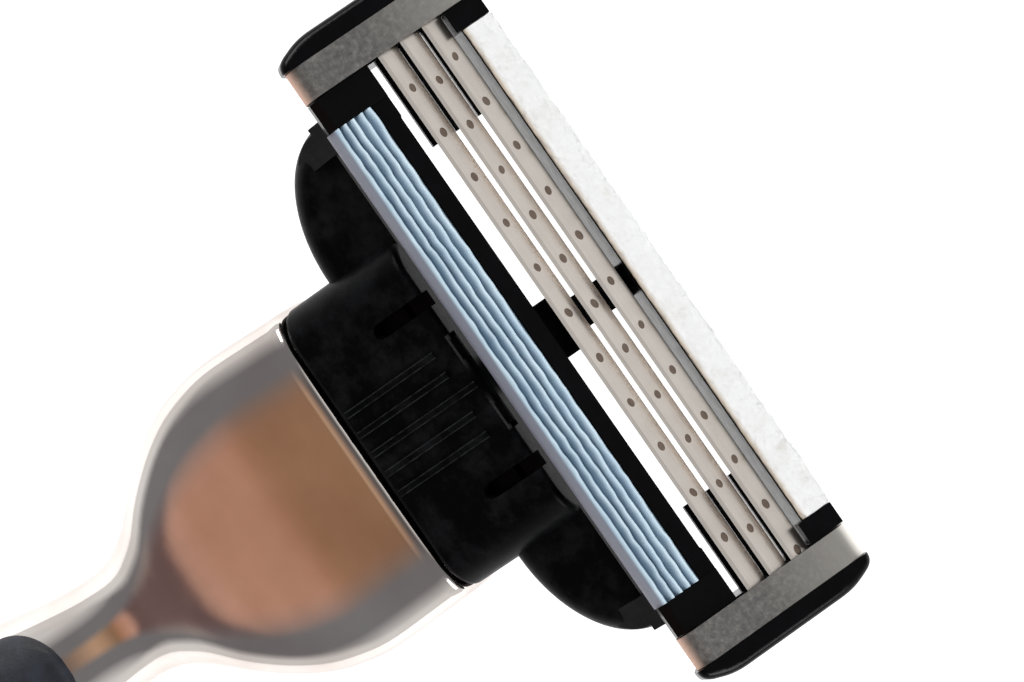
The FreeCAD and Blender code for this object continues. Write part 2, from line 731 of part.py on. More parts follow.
def make_wing(side, sign):
    """A quarter of an elliptical plate, which widens from the shell to the pivot lug."""
    outline = wing_outline(f"wing_outline_{side}", sign, "0", "wing_under")
    plate = DOC.addObject("Part::Extrusion", f"wing_plate_{side}")
    plate.Base = outline
    plate.DirMode = "Custom"
    plate.Dir = V(0, 0, 1)
    plate.Solid = True
    bind(plate, "LengthFwd", "wing_top - wing_under")
    plate = rounded(f"wing_round_{side}", plate, 1.25, lambda edge: edge.BoundBox.ZLength < 1e-3)
    x = ("shell_half - 3", "lug_outer + 1") if sign > 0 else ("-lug_outer - 1", "3 - shell_half")
    keep = block(f"wing_keep_{side}", x, ("0", "shell_long"), ("-9", "9"))
    return common(f"wing_{side}", plate, keep)


def make_arm_outline(side, sign):
    """The outline of a wing as a tall prism, carried straight on past the wing's middle to the pivot."""
    outline = wing_outline(f"arm_outline_{side}", sign, "arm_inset", f"{-ARM_PRISM_HALF}")
    prism = DOC.addObject("Part::Extrusion", f"arm_prism_{side}")
    prism.Base = outline
    prism.DirMode = "Custom"
    prism.Dir = V(0, 0, 1)
    prism.Solid = True
    prism.LengthFwd = 2 * ARM_PRISM_HALF
    x = ("shell_half", "lug_outer") if sign > 0 else ("-lug_outer", "-shell_half")
    ahead = block(f"arm_ahead_{side}", x, ("wing_ahead", "14"), ("-9", "9"))
    return fuse(f"arm_keep_{side}", prism, ahead)


def pivot_in_dock():
    """Expressions for the pivot axis in the dock frame: Y and Z."""
    y = "(face_ahead + pivot_back * cos(face_pitch) - pivot_deep * sin(face_pitch))"
    z = "(face_above - pivot_back * sin(face_pitch) - pivot_deep * cos(face_pitch))"
    return y, z


def make_lug(side, sign):
    """The end of an arm: a web from the wing to the pivot, its round end and the trunnion."""
    y, z = pivot_in_dock()
    points = [
        ("5.6", "wing_under + 0.4"),
        ("5.6", "wing_top - 0.5"),
        (f"{y} - 0.75", f"{z} + lug_radius - 0.22"),
        (f"{y} + 0.2", f"{z} + lug_radius - 0.2"),
        (f"{y} + 0.2", f"{z} - lug_radius + 0.2"),
        (f"{y} - 0.6", f"{z} - lug_radius"),
        ("shell_long", "wing_under + 1"),
    ]
    x = ("lug_inner", "lug_outer") if sign > 0 else ("-lug_outer", "-lug_inner")
    web = common(f"lug_shape_{side}", bar(f"lug_web_{side}", points, *x), make_arm_outline(side, sign))
    axis = "+X" if sign > 0 else "-X"
    eye = rod(f"lug_eye_{side}", "lug_radius", "lug_outer - lug_inner", f"{sign} * lug_inner", y, z, axis)
    pin = rod(f"trunnion_{side}", "pin_radius", "pin_end - lug_outer + 0.5", f"{sign} * (lug_outer - 0.5)", y, z, axis)
    return [web, eye, pin]


# ------------------------------------------------------------------ mechanism in the head


def make_carrier():
    """The moulded insert in the head: the nib that the connector docks on, bored for the plunger."""
    nib = block("nib", ("-nib_half", "nib_half"), ("-nib_rear", "nib_long"), ("-nib_deep", "nib_deep"))
    nib = rounded("nib_round", nib, 0.9, along_y)
    tools = [
        rod("spring_bore", "collar_radius + slide_gap", "stop_face + nib_rear + 1", "0", "-nib_rear - 1",
            "axis_low", "+Y"),
        rod("stem_bore", "stem_radius + slide_gap", "9", "0", "0", "axis_low", "+Y"),
    ]
    for side, sign in SIDES:
        low, high = "prong_inner - 0.1", "prong_outer + 0.1"
        x = (low, high) if sign > 0 else (f"-({high})", f"-({low})")
        tools.append(block(f"prong_groove_{side}", x, ("-9", "9"), ("-9", "-0.7")))
    node("dock_carrier", cut("dock_carrier", nib, *tools), dock_placement())


def make_plunger():
    """The spring plunger, whose round tip bears on the cartridge's underside and turns it back."""
    spring_end = "(stop_face - collar_long)"
    parts = [
        rod("plunger_stem", "stem_radius", f"tip_middle - {spring_end}", "0", spring_end, "axis_low", "+Y"),
        rod("plunger_collar", "collar_radius", "collar_long - 0.03", "0", spring_end, "axis_low", "+Y"),
        rod("plunger_tail", "0.8", "2.6", "0", f"{spring_end} - 2.5", "axis_low", "+Y"),
    ]
    tip = DOC.addObject("Part::Sphere", "plunger_tip")
    bind(tip, "Radius", "stem_radius")
    place(tip, "0", "tip_middle", "axis_low")
    node("plunger", fuse("plunger", *parts, tip), dock_placement())


def make_spring():
    """The coil spring, which pushes the plunger forwards and the ejector back.

    Each half turn is an arc across the coil, tilted so that it climbs a quarter of the pitch to each side.
    """
    free = "(stop_face - collar_long - spring_seat - 2 * wire_radius - 2 * spring_slack)"
    rise = f"({free} / spring_turns / 4)"
    tilt = math.degrees(math.atan2(size(rise), size("spring_mean")))
    halves = []
    for n in range(2 * int(size("spring_turns"))):
        half = DOC.addObject("Part::Torus", f"half_turn_{n + 1}")
        bind(half, "Radius1", f"sqrt(pow(spring_mean; 2) + pow({rise}; 2))")
        bind(half, "Radius2", "wire_radius")
        half.Angle3 = 180
        first = n % 2 == 0
        tilted = FreeCAD.Rotation(V(0, 1, 0), tilt if first else -tilt)
        half.Placement.Rotation = tilted.multiply(FreeCAD.Rotation(V(0, 0, 1), 0 if first else 180))
        bind(half, "Placement.Base.z", f"{2 * n + 1} * {rise}")
        halves.append(half)
    coil = fuse("coil", *halves)
    start = size("spring_seat + wire_radius + spring_slack")
    coil.Placement = FreeCAD.Placement(V(0, start, size("axis_low")), FreeCAD.Rotation(V(1, 0, 0), -90))
    node("plunger_spring", coil, dock_placement())


def make_ejector():
    """The fork inside the head: a bridge with the spring's seat, and two prongs that push the shell off."""
    bridge_front = "(bridge_rear + bridge_long)"
    parts = [
        block("bridge", ("-prong_outer", "prong_outer"), ("bridge_rear", bridge_front), ("-2.45", "0.9")),
        rod("spring_boss", "collar_radius - 0.1", f"spring_seat - {bridge_front} + 0.2", "0",
            f"{bridge_front} - 0.2", "axis_low", "+Y"),
        rod("spring_post", "0.85", "1.0", "0", "spring_seat - 0.2", "axis_low", "+Y"),
    ]
    for side, sign in SIDES:
        x = ("prong_inner", "prong_outer") if sign > 0 else ("-prong_outer", "-prong_inner")
        parts.append(block(f"prong_{side}", x, (f"{bridge_front} - 0.2", "prong_end"), ("-2.45", "-0.85")))
    node("ejector_fork", fuse("ejector_fork", *parts), dock_placement())


def make_button():
    """The ribbed slide button on the back of the head, with the stem that drives the fork."""
    low = "button_skin - button_thick"
    pad = block("button_pad", ("-button_half", "button_half"), ("button_rear", "button_rear + button_long"),
                (low, "button_skin"))
    pad = rounded("button_plan", pad, 1.6, lambda edge: edge.BoundBox.ZLength > 0.5)
    bottom = size(low)

    def outer_rim(edge):
        box = edge.BoundBox
        return box.ZLength < 1e-3 and abs(box.Center.z - bottom) < 1e-3

    pad = rounded("button_edge", pad, 0.35, outer_rim)
    ribs = []
    for n in range(4):
        y = f"button_rear + 1.0 + {n} * 1.1"
        ribs.append(rod(f"button_rib_{n + 1}", "0.28", "4.4", "-2.2", y, low, "+X"))
    stem = block("button_stem", ("-1.2", "1.2"), ("bridge_rear + 0.4", "bridge_rear + 1.8"),
                 ("button_skin - 0.1", "-2.45"))
    node("eject_button", fuse("eject_button", pad, stem, *ribs), dock_placement())


# ------------------------------------------------------------------ handle


def spine(distance):
    """The handle's middle line, a distance behind the rim: its point, and its angle above the surface."""
    pitch = math.radians(size("head_pitch"))
    radius, straight = size("neck_radius"), size("head_straight")
    base = dock_placement().Base
    if distance <= straight:
        return base - V(0, math.cos(pitch), math.sin(pitch)) * distance, pitch
    bend = min((distance - straight) / radius, pitch)
    angle = pitch - bend
    middle = base - V(0, math.cos(pitch), math.sin(pitch)) * straight
    middle += V(0, -radius * (math.sin(pitch) - math.sin(angle)), -radius * (math.cos(angle) - math.cos(pitch)))
    beyond = max(0.0, distance - straight - radius * pitch)
    return middle - V(0, beyond, 0), angle


def section(distance, width, thickness, squareness, proud):
    """A closed superellipse square to the middle line."""
    middle, angle = spine(distance)
    up = V(0, -math.sin(angle), math.cos(angle))
    across = V(1, 0, 0)
    points = []
    for n in range(SECTION_POINTS):
        turn = 2 * math.pi * n / SECTION_POINTS
        c, s = math.cos(turn), math.sin(turn)
        x = math.copysign(abs(c) ** (2 / squareness), c) * (width / 2 + proud)
        z = math.copysign(abs(s) ** (2 / squareness), s) * (thickness / 2 + proud)
        points.append(middle + across * x + up * z)
    curve = Part.BSplineCurve()
    curve.interpolate(points, PeriodicFlag=True)
    return Part.Wire(curve.toShape())


def handle_form(name, proud):
    item = DOC.addObject("Part::Feature", name)
    wires = [section(*row, proud) for row in HANDLE_SECTIONS]
    item.Shape = Part.makeLoft(wires, True, False, False, 5)
    return item


def grip_plan(name, nose, tail, nose_half, middle_half, tail_half, low, high):
    """An upright prism over a grip's outline: a round nose and tail, joined by two bowed sides."""
    front, back = spine(nose)[0].y, spine(tail)[0].y
    middle = (front + back) / 2
    nose_y, tail_y = front - nose_half, back + tail_half
    edges = [
        Part.Arc(V(-nose_half, nose_y, 0), V(0, front, 0), V(nose_half, nose_y, 0)),
        Part.Arc(V(nose_half, nose_y, 0), V(middle_half, middle, 0), V(tail_half, tail_y, 0)),
        Part.Arc(V(tail_half, tail_y, 0), V(0, back, 0), V(-tail_half, tail_y, 0)),
        Part.Arc(V(-tail_half, tail_y, 0), V(-middle_half, middle, 0), V(-nose_half, nose_y, 0)),
    ]
    face = Part.Face(Part.Wire([edge.toShape() for edge in edges]))
    item = DOC.addObject("Part::Feature", name)
    item.Shape = face.extrude(V(0, 0, size(high) - size(low)))
    item.Placement = FreeCAD.Placement(V(0, 0, size(low)), FreeCAD.Rotation())
    return item


def grooves(name, first, last, pitch, radius, half, height):
    """A row of round grooves across a grip, between two distances behind the rim."""
    made = []
    count = int((last - first) / pitch) + 1
    for n in range(count):
        item = DOC.addObject("Part::Cylinder", f"{name}_{n + 1}")
        item.Radius = radius
        item.Height = 2 * half
        middle = spine(first + n * pitch)[0]
        turn = FreeCAD.Rotation(V(0, 1, 0), 90)
        item.Placement = FreeCAD.Placement(V(-half, middle.y, height), turn)
        made.append(item)
    return made


def make_handle():
    """The plated frame, the front and back grips let into it, and the end cap."""
    form = handle_form("handle_form", 0.0)
    proud = handle_form("grip_form", size("grip_proud"))
    front = grip_plan("front_plan", 23.6, 108, 3.4, 5.3, 3.2, "front_floor", "30")
    back = grip_plan("back_plan", 44, 111, 3.6, 5.2, 3.4, "-5", "back_floor")
    table = block("table", ("-20", "20"), ("-120", "80"), ("-9", "0"))
    tail_y = spine(HANDLE_SECTIONS[-1][0])[0].y + size("butt_length")
    beyond = block("butt_keep", ("-20", "20"), ("-120", f"{tail_y}"), ("-9", "30"))
    placement = dock_placement()
    head_tools = [
        block("cavity_front", ("-cavity_half", "cavity_half"), ("-9", "1"), ("-cavity_deep", "cavity_deep")),
        block("cavity_rear", ("-prong_outer - 0.15", "prong_outer + 0.15"), ("-14", "-8.9"), ("-cavity_deep", "1.1")),
        block("button_slot", ("-1.35", "1.35"), ("bridge_rear + 0.3", "bridge_rear + 2 + eject_travel"), ("-9", "0")),
    ]
    for tool in head_tools:
        tool.recompute()
    cavity = fuse("head_cavity", *head_tools)
    cavity.Placement = placement
    plug_hole = rod("plug_hole", "plug_radius + 0.03", "plug_length + 0.3", "0", f"{tail_y} - 0.01",
                    "spine_height", "+Y")
    node(
        "handle_frame",
        cut("handle_frame", form, cavity, front, back, table, beyond, plug_hole),
    )
    ribs = grooves("front_groove", 33, 101, 2.6, 0.55, 6.0, size("spine_height") + 6.35)
    node("front_grip", cut("front_grip", common("front_grip_blank", proud, front), *ribs))
    ridges = grooves("back_groove", 51, 105, 3.0, 0.5, 3.0, -0.1)
    node("back_grip", cut("back_grip", common("back_grip_blank", proud, back), table, *ridges))
    cap = common("cap_blank", form, beyond)
    plug = rod("plug", "plug_radius", "plug_length", "0", f"{tail_y} - 1", "spine_height", "+Y")
    node("end_cap", cut("end_cap", fuse("cap_solid", cap, plug), table))


def check():
    """Stops with a plain message if any object failed or any sub-part is not a valid solid."""
    DOC.recompute()
    for item in DOC.Objects:
        if "Invalid" in item.State or "Error" in item.State:
            raise SystemExit(f"{item.Name} failed: {item.State}")
    for name, item in NODES.items():
        shape = item.Shape
        if shape.isNull() or not shape.isValid() or not shape.Solids:
            raise SystemExit(f"{name} has no valid solid")


def write():
    os.makedirs("parts", exist_ok=True)
    for name, item in NODES.items():
        item.Shape.exportStep(os.path.join("parts", f"{name}.step"))
        box = item.Shape.BoundBox
        print(
            f"{name}: {len(item.Shape.Solids)} solid(s), {item.Shape.Volume:.2f} mm3,"
            f" x {box.XMin:.2f}..{box.XMax:.2f} y {box.YMin:.2f}..{box.YMax:.2f} z {box.ZMin:.2f}..{box.ZMax:.2f}"
        )


make_housing()
make_fins()
make_strip()
make_blades()
make_clips()
make_connector()
make_carrier()
make_plunger()
make_spring()
make_ejector()
make_button()
make_handle()
check()
write()
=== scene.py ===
"""The looks of a cartridge razor: materials, the finely shaped pieces, light and camera."""

import json
import math
import random
from typing import NamedTuple

import bmesh
import bpy
from mathutils import Matrix, Vector, noise


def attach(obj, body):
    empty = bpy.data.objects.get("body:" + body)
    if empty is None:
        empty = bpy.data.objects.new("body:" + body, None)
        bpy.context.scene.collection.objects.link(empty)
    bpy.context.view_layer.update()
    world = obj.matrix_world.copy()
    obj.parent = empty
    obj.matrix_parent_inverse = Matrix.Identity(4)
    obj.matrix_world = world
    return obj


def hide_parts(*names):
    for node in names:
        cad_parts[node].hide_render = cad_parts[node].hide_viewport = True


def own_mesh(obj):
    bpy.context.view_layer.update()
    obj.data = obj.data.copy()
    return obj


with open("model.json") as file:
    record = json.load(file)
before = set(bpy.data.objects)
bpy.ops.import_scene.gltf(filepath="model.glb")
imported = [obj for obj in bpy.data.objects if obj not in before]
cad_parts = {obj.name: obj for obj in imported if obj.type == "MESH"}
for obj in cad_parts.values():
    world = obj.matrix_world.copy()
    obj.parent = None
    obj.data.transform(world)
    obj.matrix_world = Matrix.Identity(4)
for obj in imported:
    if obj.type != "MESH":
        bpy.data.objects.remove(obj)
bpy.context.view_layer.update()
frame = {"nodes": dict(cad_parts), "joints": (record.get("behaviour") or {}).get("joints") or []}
MM = 0.001

# The cartridge's own frame: ALONG the blades, BACK from the guard to the cap, OUT of the shaving face.
FACE_TILT = math.radians(13.0)
ALONG = Vector((1, 0, 0))
BACK = Vector((0, math.cos(FACE_TILT), -math.sin(FACE_TILT)))
OUT = Vector((0, math.sin(FACE_TILT), math.cos(FACE_TILT)))
JOINTS = {joint["name"]: joint for joint in frame["joints"]}
PIVOT = Vector(JOINTS["cartridge_pivot"]["pos_m"])
PIVOT_BACK = 1.9 * MM
PIVOT_DEEP = 3.0 * MM
FACE_FRONT = PIVOT - BACK * PIVOT_BACK + OUT * PIVOT_DEEP

# The head: Y and Z of the middle of its rim in millimetres, where it points and which way its front faces.
RIM = (51.2, 14.41)
DOCK_BASE = Vector((0, *RIM)) * MM
DOCK = Vector(JOINTS["cartridge_release"]["axis"])
HEAD_FRONT = Vector((0, -DOCK.z, DOCK.y))


def on_cartridge(along, back, out):
    """A point in the cartridge's frame, in millimetres, as a point of the razor's frame in metres."""
    return FACE_FRONT + (ALONG * along + BACK * back + OUT * out) * MM


# ------------------------------------------------------------------ materials


def linear(red, green, blue):
    """An sRGB colour, 0 to 255, as the linear values that shaders use."""

    def one(value):
        value /= 255
        return value / 12.92 if value <= 0.04045 else ((value + 0.055) / 1.055) ** 2.4

    return one(red), one(green), one(blue)


def grey(value):
    return (value,) * 3


class Nodes:
    """A node tree, built one node at a time."""

    def __init__(self, tree):
        self.tree = tree

    def node(self, kind, inputs=None, **properties):
        made = self.tree.nodes.new(kind)
        for prop, value in properties.items():
            setattr(made, prop, value)
        for socket, value in (inputs or {}).items():
            self.feed(made, socket, value)
        return made

    def feed(self, made, socket, value):
        """Another node's output is linked to the socket, and any other value is set on it."""
        if isinstance(value, bpy.types.NodeSocket):
            self.tree.links.new(value, made.inputs[socket])
        else:
            made.inputs[socket].default_value = value

    def compute(self, operation, *values):
        return self.node("ShaderNodeMath", dict(enumerate(values)), operation=operation).outputs["Value"]

    def share(self, value, low, high):
        """Where a value lies between low and high, as 0 to 1."""
        sockets = {"Value": value, "From Min": low, "From Max": high}
        return self.node("ShaderNodeMapRange", sockets).outputs["Result"]

    def blend(self, factor, first, second):
        """The first colour where the factor is 0, the second where it is 1."""
        made = self.node("ShaderNodeMix", data_type="RGBA")
        for place, value in ((0, factor), (6, first), (7, second)):
            self.feed(made, place, (*value, 1) if isinstance(value, tuple) else value)
        return made.outputs[2]

    def ramp(self, factor, stops):
        """A colour ramp from (position, colour) pairs."""
        made = self.node("ShaderNodeValToRGB", {"Fac": factor})
        elements = made.color_ramp.elements
        while len(elements) < len(stops):
            elements.new(0.5)
        for element, (position, colour) in zip(elements, stops):
            element.position = position
            element.color = (*colour, 1)
        return made.outputs["Color"]


class Shader(Nodes):
    """A material with one Principled shader. Its sockets are named with _ for a space."""

    def __init__(self, name, **sockets):
        self.material = bpy.data.materials.new(name)
        self.material.use_nodes = True
        super().__init__(self.material.node_tree)
        self.tree.nodes.clear()
        self.surface = self.node("ShaderNodeBsdfPrincipled")
        self.node("ShaderNodeOutputMaterial", {"Surface": self.surface.outputs["BSDF"]})
        for socket, value in sockets.items():
            self.set(socket.replace("_", " "), value)

    def set(self, socket, value):
        self.feed(self.surface, socket, value)

    def noise(self, size, detail=3.0, stretch=(1, 1, 1), rough=0.5):
        """Noise whose features are about size millimetres across, on the object's own coordinates."""
        coordinates = self.node("ShaderNodeTexCoord").outputs["Object"]
        scale = [1 / MM * part for part in stretch]
        place = self.node("ShaderNodeMapping", {"Vector": coordinates, "Scale": scale}).outputs["Vector"]
        sockets = {"Vector": place, "Scale": 1 / size, "Detail": detail, "Roughness": rough}
        return self.node("ShaderNodeTexNoise", sockets).outputs["Fac"]

    def reach(self, direction, low, high):
        """How far a point lies along a direction of the cartridge, with low to high mm mapped onto 0..1."""
        coordinates = self.node("ShaderNodeTexCoord").outputs["Object"]
        sockets = {0: coordinates, 1: direction / MM}
        along = self.node("ShaderNodeVectorMath", sockets, operation="DOT_PRODUCT").outputs["Value"]
        start = FACE_FRONT.dot(direction) / MM
        return self.share(along, start + low, start + high)

    def spread(self, factor, low, high):
        """The factor mapped from 0..1 onto low..high."""
        sockets = {"Value": factor, "To Min": low, "To Max": high}
        return self.node("ShaderNodeMapRange", sockets).outputs["Result"]

    def bump(self, height, strength, distance):
        sockets = {"Height": height, "Strength": strength, "Distance": distance * MM}
        self.set("Normal", self.node("ShaderNodeBump", sockets).outputs["Normal"])


def plated_metal():
    shader = Shader("plated_metal", Metallic=1.0)
    grime = shader.noise(7.0, 3.0)
    shader.set("Base Color", shader.ramp(grime, [(0.3, linear(212, 202, 196)), (0.7, linear(234, 228, 223))]))
    shader.set("Roughness", shader.spread(shader.noise(1.5, 5.0), 0.05, 0.13))
    shader.bump(shader.noise(0.9, 3.0), 0.03, 0.03)
    return shader.material


def grip_rubber():
    shader = Shader("grip_rubber", Specular_IOR_Level=0.45)
    dust = shader.noise(1.2, 6.0)
    shader.set("Base Color", shader.ramp(dust, [(0.35, linear(18, 20, 27)), (0.75, linear(38, 42, 54))]))
    shader.set("Roughness", shader.spread(shader.noise(0.4, 4.0), 0.42, 0.68))
    shader.bump(shader.noise(0.12, 3.0), 0.35, 0.05)
    return shader.material


# Black mouldings: two colours, roughness from low to high, the grain's size and depth, and reflectance.
SATIN_BLACK = {
    "dark": linear(2, 2, 3),
    "light": linear(24, 25, 27),
    "low": 0.25,
    "high": 0.45,
    "grain": 0.12,
    "depth": 0.03,
    "shine": 0.06,
}
GLOSS_BLACK = {
    "dark": linear(2, 2, 3),
    "light": linear(7, 7, 10),
    "low": 0.15,
    "high": 0.32,
    "grain": 0.3,
    "depth": 0.02,
    "shine": 0.14,
}


def black_plastic(name, dark, light, low, high, grain, depth, shine):
    """A black moulding's shader, with a faint film on it."""
    shader = Shader(name, Specular_IOR_Level=shine)
    film = shader.noise(2.2, 8.0, rough=0.7)
    shader.set("Base Color", shader.ramp(film, [(0.45, dark), (0.8, light)]))
    shader.set("Roughness", shader.spread(shader.noise(0.7, 6.0), low, high))
    shader.bump(shader.noise(grain, 4.0), 0.4, depth)
    return shader


# The latch tongue's pairs of ribs: their spacing, and the height of the tongue's face over the rim's middle.
RIB_SPACE = 1.3
TONGUE_FACE = 3.64
DOCK_RISE = (FACE_FRONT - DOCK_BASE).dot(HEAD_FRONT) / MM
RIB_FOOT = TONGUE_FACE - DOCK_RISE
RIB_SOFTNESS = 0.02
# How much painted highlight the tongue has, from the middle of a pair of ribs, 0, to half way to the next
# pair, 1.
RIB_HIGHLIGHT = ((0.18, 0.0), (0.28, 1.0), (0.36, 1.0), (0.46, 0.0))


def ribbed_plastic():
    """The connector's black, with painted highlights as pale edges on the ribs of its latch tongue, broken up
    by noise.
    """
    shader = black_plastic("ribbed_black", **SATIN_BLACK)
    base = shader.surface.inputs["Base Color"].links[0].from_socket
    across = shader.reach(ALONG, 0, RIB_SPACE / 2)
    across.node.clamp = False
    edges = shader.ramp(
        shader.compute("PINGPONG", across, 1.0), [(place, grey(highlight_level)) for place, highlight_level in RIB_HIGHLIGHT]
    )
    raised = shader.reach(HEAD_FRONT, RIB_FOOT, RIB_FOOT + RIB_SOFTNESS)
    # Noise breaks up the painted highlight on the rib edges.
    highlight_breakup = shader.ramp(shader.noise(0.5, 5.0), [(0.35, grey(0.2)), (0.65, grey(1))])
    mask = shader.compute("MULTIPLY", shader.compute("MULTIPLY", edges, raised), highlight_breakup)
    # The pale grey painted highlight along the rib edges.
    shader.set("Base Color", shader.blend(mask, base, linear(42, 46, 46)))
    return shader.material


def steel(name, dark, light, low, high, brush):
    """Ground or rolled steel, with its brushing along the blades."""
    shader = Shader(name, Metallic=1.0)
    lines = shader.noise(brush, 6.0, stretch=(0.04, 1, 1))
    stain = shader.noise(1.6, 5.0)
    mixed = shader.node("ShaderNodeMix", {"Factor": 0.5, "A": lines, "B": stain}, data_type="FLOAT")
    shader.set("Base Color", shader.ramp(mixed.outputs["Result"], [(0.35, dark), (0.65, light)]))
    shader.set("Roughness", shader.spread(lines, low, high))
    shader.bump(lines, 0.15, 0.02)
    return shader.material


# Where the clips' painted light changes, from the guard's edge backwards: a painted warm reflection at the
# guard's bend, a painted sheen lighter towards the back and a painted highlight at the cap's bend.
GUARD_BEND_REFLECTION = (0.7, 0.15)
CLIP_SHEEN = (5.0, 11.0)
CAP_BEND_HIGHLIGHT = (10.7, 11.2)


def clip_metal():
    """Matt rolled metal with a fine grain, with a painted coppery reflection at the guard's bend, a painted
    sheen lighter towards the back and a painted pale highlight at the cap's bend.
    """
    shader = Shader("clip_metal", Metallic=0.85)
    grain = shader.noise(0.3, 8.0, rough=0.7)
    colour = shader.ramp(
        grain, [(0.3, linear(100, 99, 97)), (0.5, linear(122, 120, 117)), (0.75, linear(156, 153, 149))]
    )
    # Painted light: a sheen lighter towards the back, a warm reflection at the guard's bend and a highlight
    # at the cap's bend.
    colour = shader.blend(shader.reach(BACK, *CLIP_SHEEN), colour, linear(172, 169, 163))
    colour = shader.blend(shader.reach(BACK, *GUARD_BEND_REFLECTION), colour, linear(204, 166, 146))
    colour = shader.blend(shader.reach(BACK, *CAP_BEND_HIGHLIGHT), colour, linear(228, 224, 218))
    shader.set("Base Color", colour)
    shader.set("Roughness", shader.spread(grain, 0.4, 0.55))
    shader.bump(grain, 0.25, 0.02)
    return shader.material


# The guard's painted shade: from the fins' shaded valleys to their lit crests, lighter up its shaded front
# face, and where that face meets the fins.
FINS_RISE = (-0.6, -0.08)
FRONT_RISE = (-1.3, -0.35)
FRONT_EDGE = (0.55, 0.68)


def fin_rubber():
    """Pale blue fins with painted shade between their crests, on a front face painted as a shaded
    lavender-grey copy of the fins' rubber.
    """
    shader = Shader(
        "fin_rubber", Specular_IOR_Level=0.4, Subsurface_Weight=0.05, Subsurface_Radius=grey(0.2 * MM)
    )
    cloud = shader.noise(1.0, 5.0, stretch=(0.4, 1, 1))
    crest = shader.ramp(cloud, [(0.3, linear(196, 220, 236)), (0.7, linear(218, 238, 249))])
    # Painted shade: the fins darken from their crests down into the valleys.
    height = shader.ramp(shader.reach(OUT, *FINS_RISE), [(0.0, grey(0)), (0.45, grey(0.25)), (1.0, grey(1))])
    fins = shader.blend(height, linear(66, 94, 118), crest)
    # Painted shade on the front face, a little lighter towards its top.
    rise = shader.reach(OUT, *FRONT_RISE)
    front = shader.ramp(rise, [(0.0, linear(112, 113, 126)), (1.0, linear(118, 122, 134))])
    shader.set("Base Color", shader.blend(shader.reach(BACK, *FRONT_EDGE), front, fins))
    shader.set("Roughness", shader.spread(shader.noise(0.4, 4.0), 0.3, 0.5))
    shader.bump(shader.noise(0.15, 4.0), 0.3, 0.04)
    return shader.material


# Where the painted shadow along the strip's front edge gives way to its white, back from the guard.
STRIP_FRONT_SHADOW = (9.45, 9.8)


def swollen_strip():
    """The worn lubricating strip: chalky white, with a beige painted shadow along its front edge."""
    shader = Shader(
        "swollen_strip", Specular_IOR_Level=0.4, Subsurface_Weight=0.2, Subsurface_Radius=grey(0.4 * MM)
    )
    patches = shader.noise(1.4, 8.0, rough=0.65)
    chalk = shader.ramp(
        patches, [(0.25, linear(232, 230, 224)), (0.42, linear(246, 247, 246)), (0.7, linear(254, 255, 255))]
    )
    # Painted shadow: beige along the strip's front edge.
    shader.set("Base Color", shader.blend(shader.reach(BACK, *STRIP_FRONT_SHADOW), linear(196, 176, 150), chalk))
    shader.set("Roughness", shader.spread(shader.noise(0.3, 5.0), 0.35, 0.8))
    shader.bump(shader.noise(0.18, 8.0, rough=0.7), 0.8, 0.12)
    return shader.material


def weld_metal():
    return steel("weld_metal", linear(128, 112, 100), linear(152, 136, 124), 0.35, 0.5, 0.2)


def spring_wire():
    return steel("spring_wire", linear(120, 118, 116), linear(190, 188, 184), 0.2, 0.4, 0.2)


def blade_steel():
    return steel("blade_steel", linear(224, 216, 208), linear(238, 231, 223), 0.24, 0.34, 0.25)


def support_steel():
    return steel("support_steel", linear(208, 203, 200), linear(240, 237, 235), 0.28, 0.45, 0.1)


def paint(names, material):
    for name in names:
        mesh = frame["nodes"][name].data
        mesh.materials.clear()
        mesh.materials.append(material)


# ------------------------------------------------------------------ shaped pieces

SHARP_ANGLE = math.radians(50)


def tube_faces(rows, count, first=0):
    """Faces over rows of count points: each row joined to the next and the end rows filled."""
    faces = []
    for row in range(rows - 1):
        low, high = first + row * count, first + (row + 1) * count
        for column in range(count):
            beside = (column + 1) % count
            faces.append((low + column, low + beside, high + beside, high + column))
    last = first + (rows - 1) * count
    faces.append(tuple(reversed(range(first, first + count))))
    faces.append(tuple(range(last, last + count)))
    return faces


def skin(name, rows, material, body, replaced):
    """A closed piece over rows of points, in place of a CAD node."""
    points = [point for row in rows for point in row]
    return finish_piece(name, points, tube_faces(len(rows), len(rows[0])), material, body, replaced)


def finish_piece(name, points, faces, material, body, replaced=()):
    """Outward smooth faces, a material, a place in the scene and a body to ride on."""
    mesh = bpy.data.meshes.new(name)
    mesh.from_pydata(points, [], faces)
    shape = bmesh.new()
    shape.from_mesh(mesh)
    bmesh.ops.recalc_face_normals(shape, faces=shape.faces)
    shape.to_mesh(mesh)
    shape.free()
    mesh.shade_smooth()
    mesh.set_sharp_from_angle(angle=SHARP_ANGLE)
    mesh.materials.append(material)
    item = bpy.data.objects.new(name, mesh)
    bpy.context.scene.collection.objects.link(item)
    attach(item, body)
    if replaced:
        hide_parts(*replaced)
    return item


def catmull_rom(p, q, r, s, t):
    """The curve's value t of the way from q to r."""
    return 0.5 * (2 * q + (r - p) * t + (2 * p - 5 * q + 4 * r - s) * t**2 + (3 * q - p - 3 * r + s) * t**3)


def smooth_path(points, parts):
    """Points on a Catmull-Rom curve through the given tuples, parts to each span."""
    ends = [points[0], *points, points[-1]]
    made = []
    for corners in zip(ends, ends[1:], ends[2:], ends[3:]):
        for step in range(parts):
            made.append(tuple(catmull_rom(*values, step / parts) for values in zip(*corners)))
    return [*made, points[-1]]


def stations(half, pitch):
    """Places along the blades from -half to half, about a pitch apart."""
    steps = int(2 * half / pitch)
    return [-half + 2 * half * step / steps for step in range(steps + 1)]


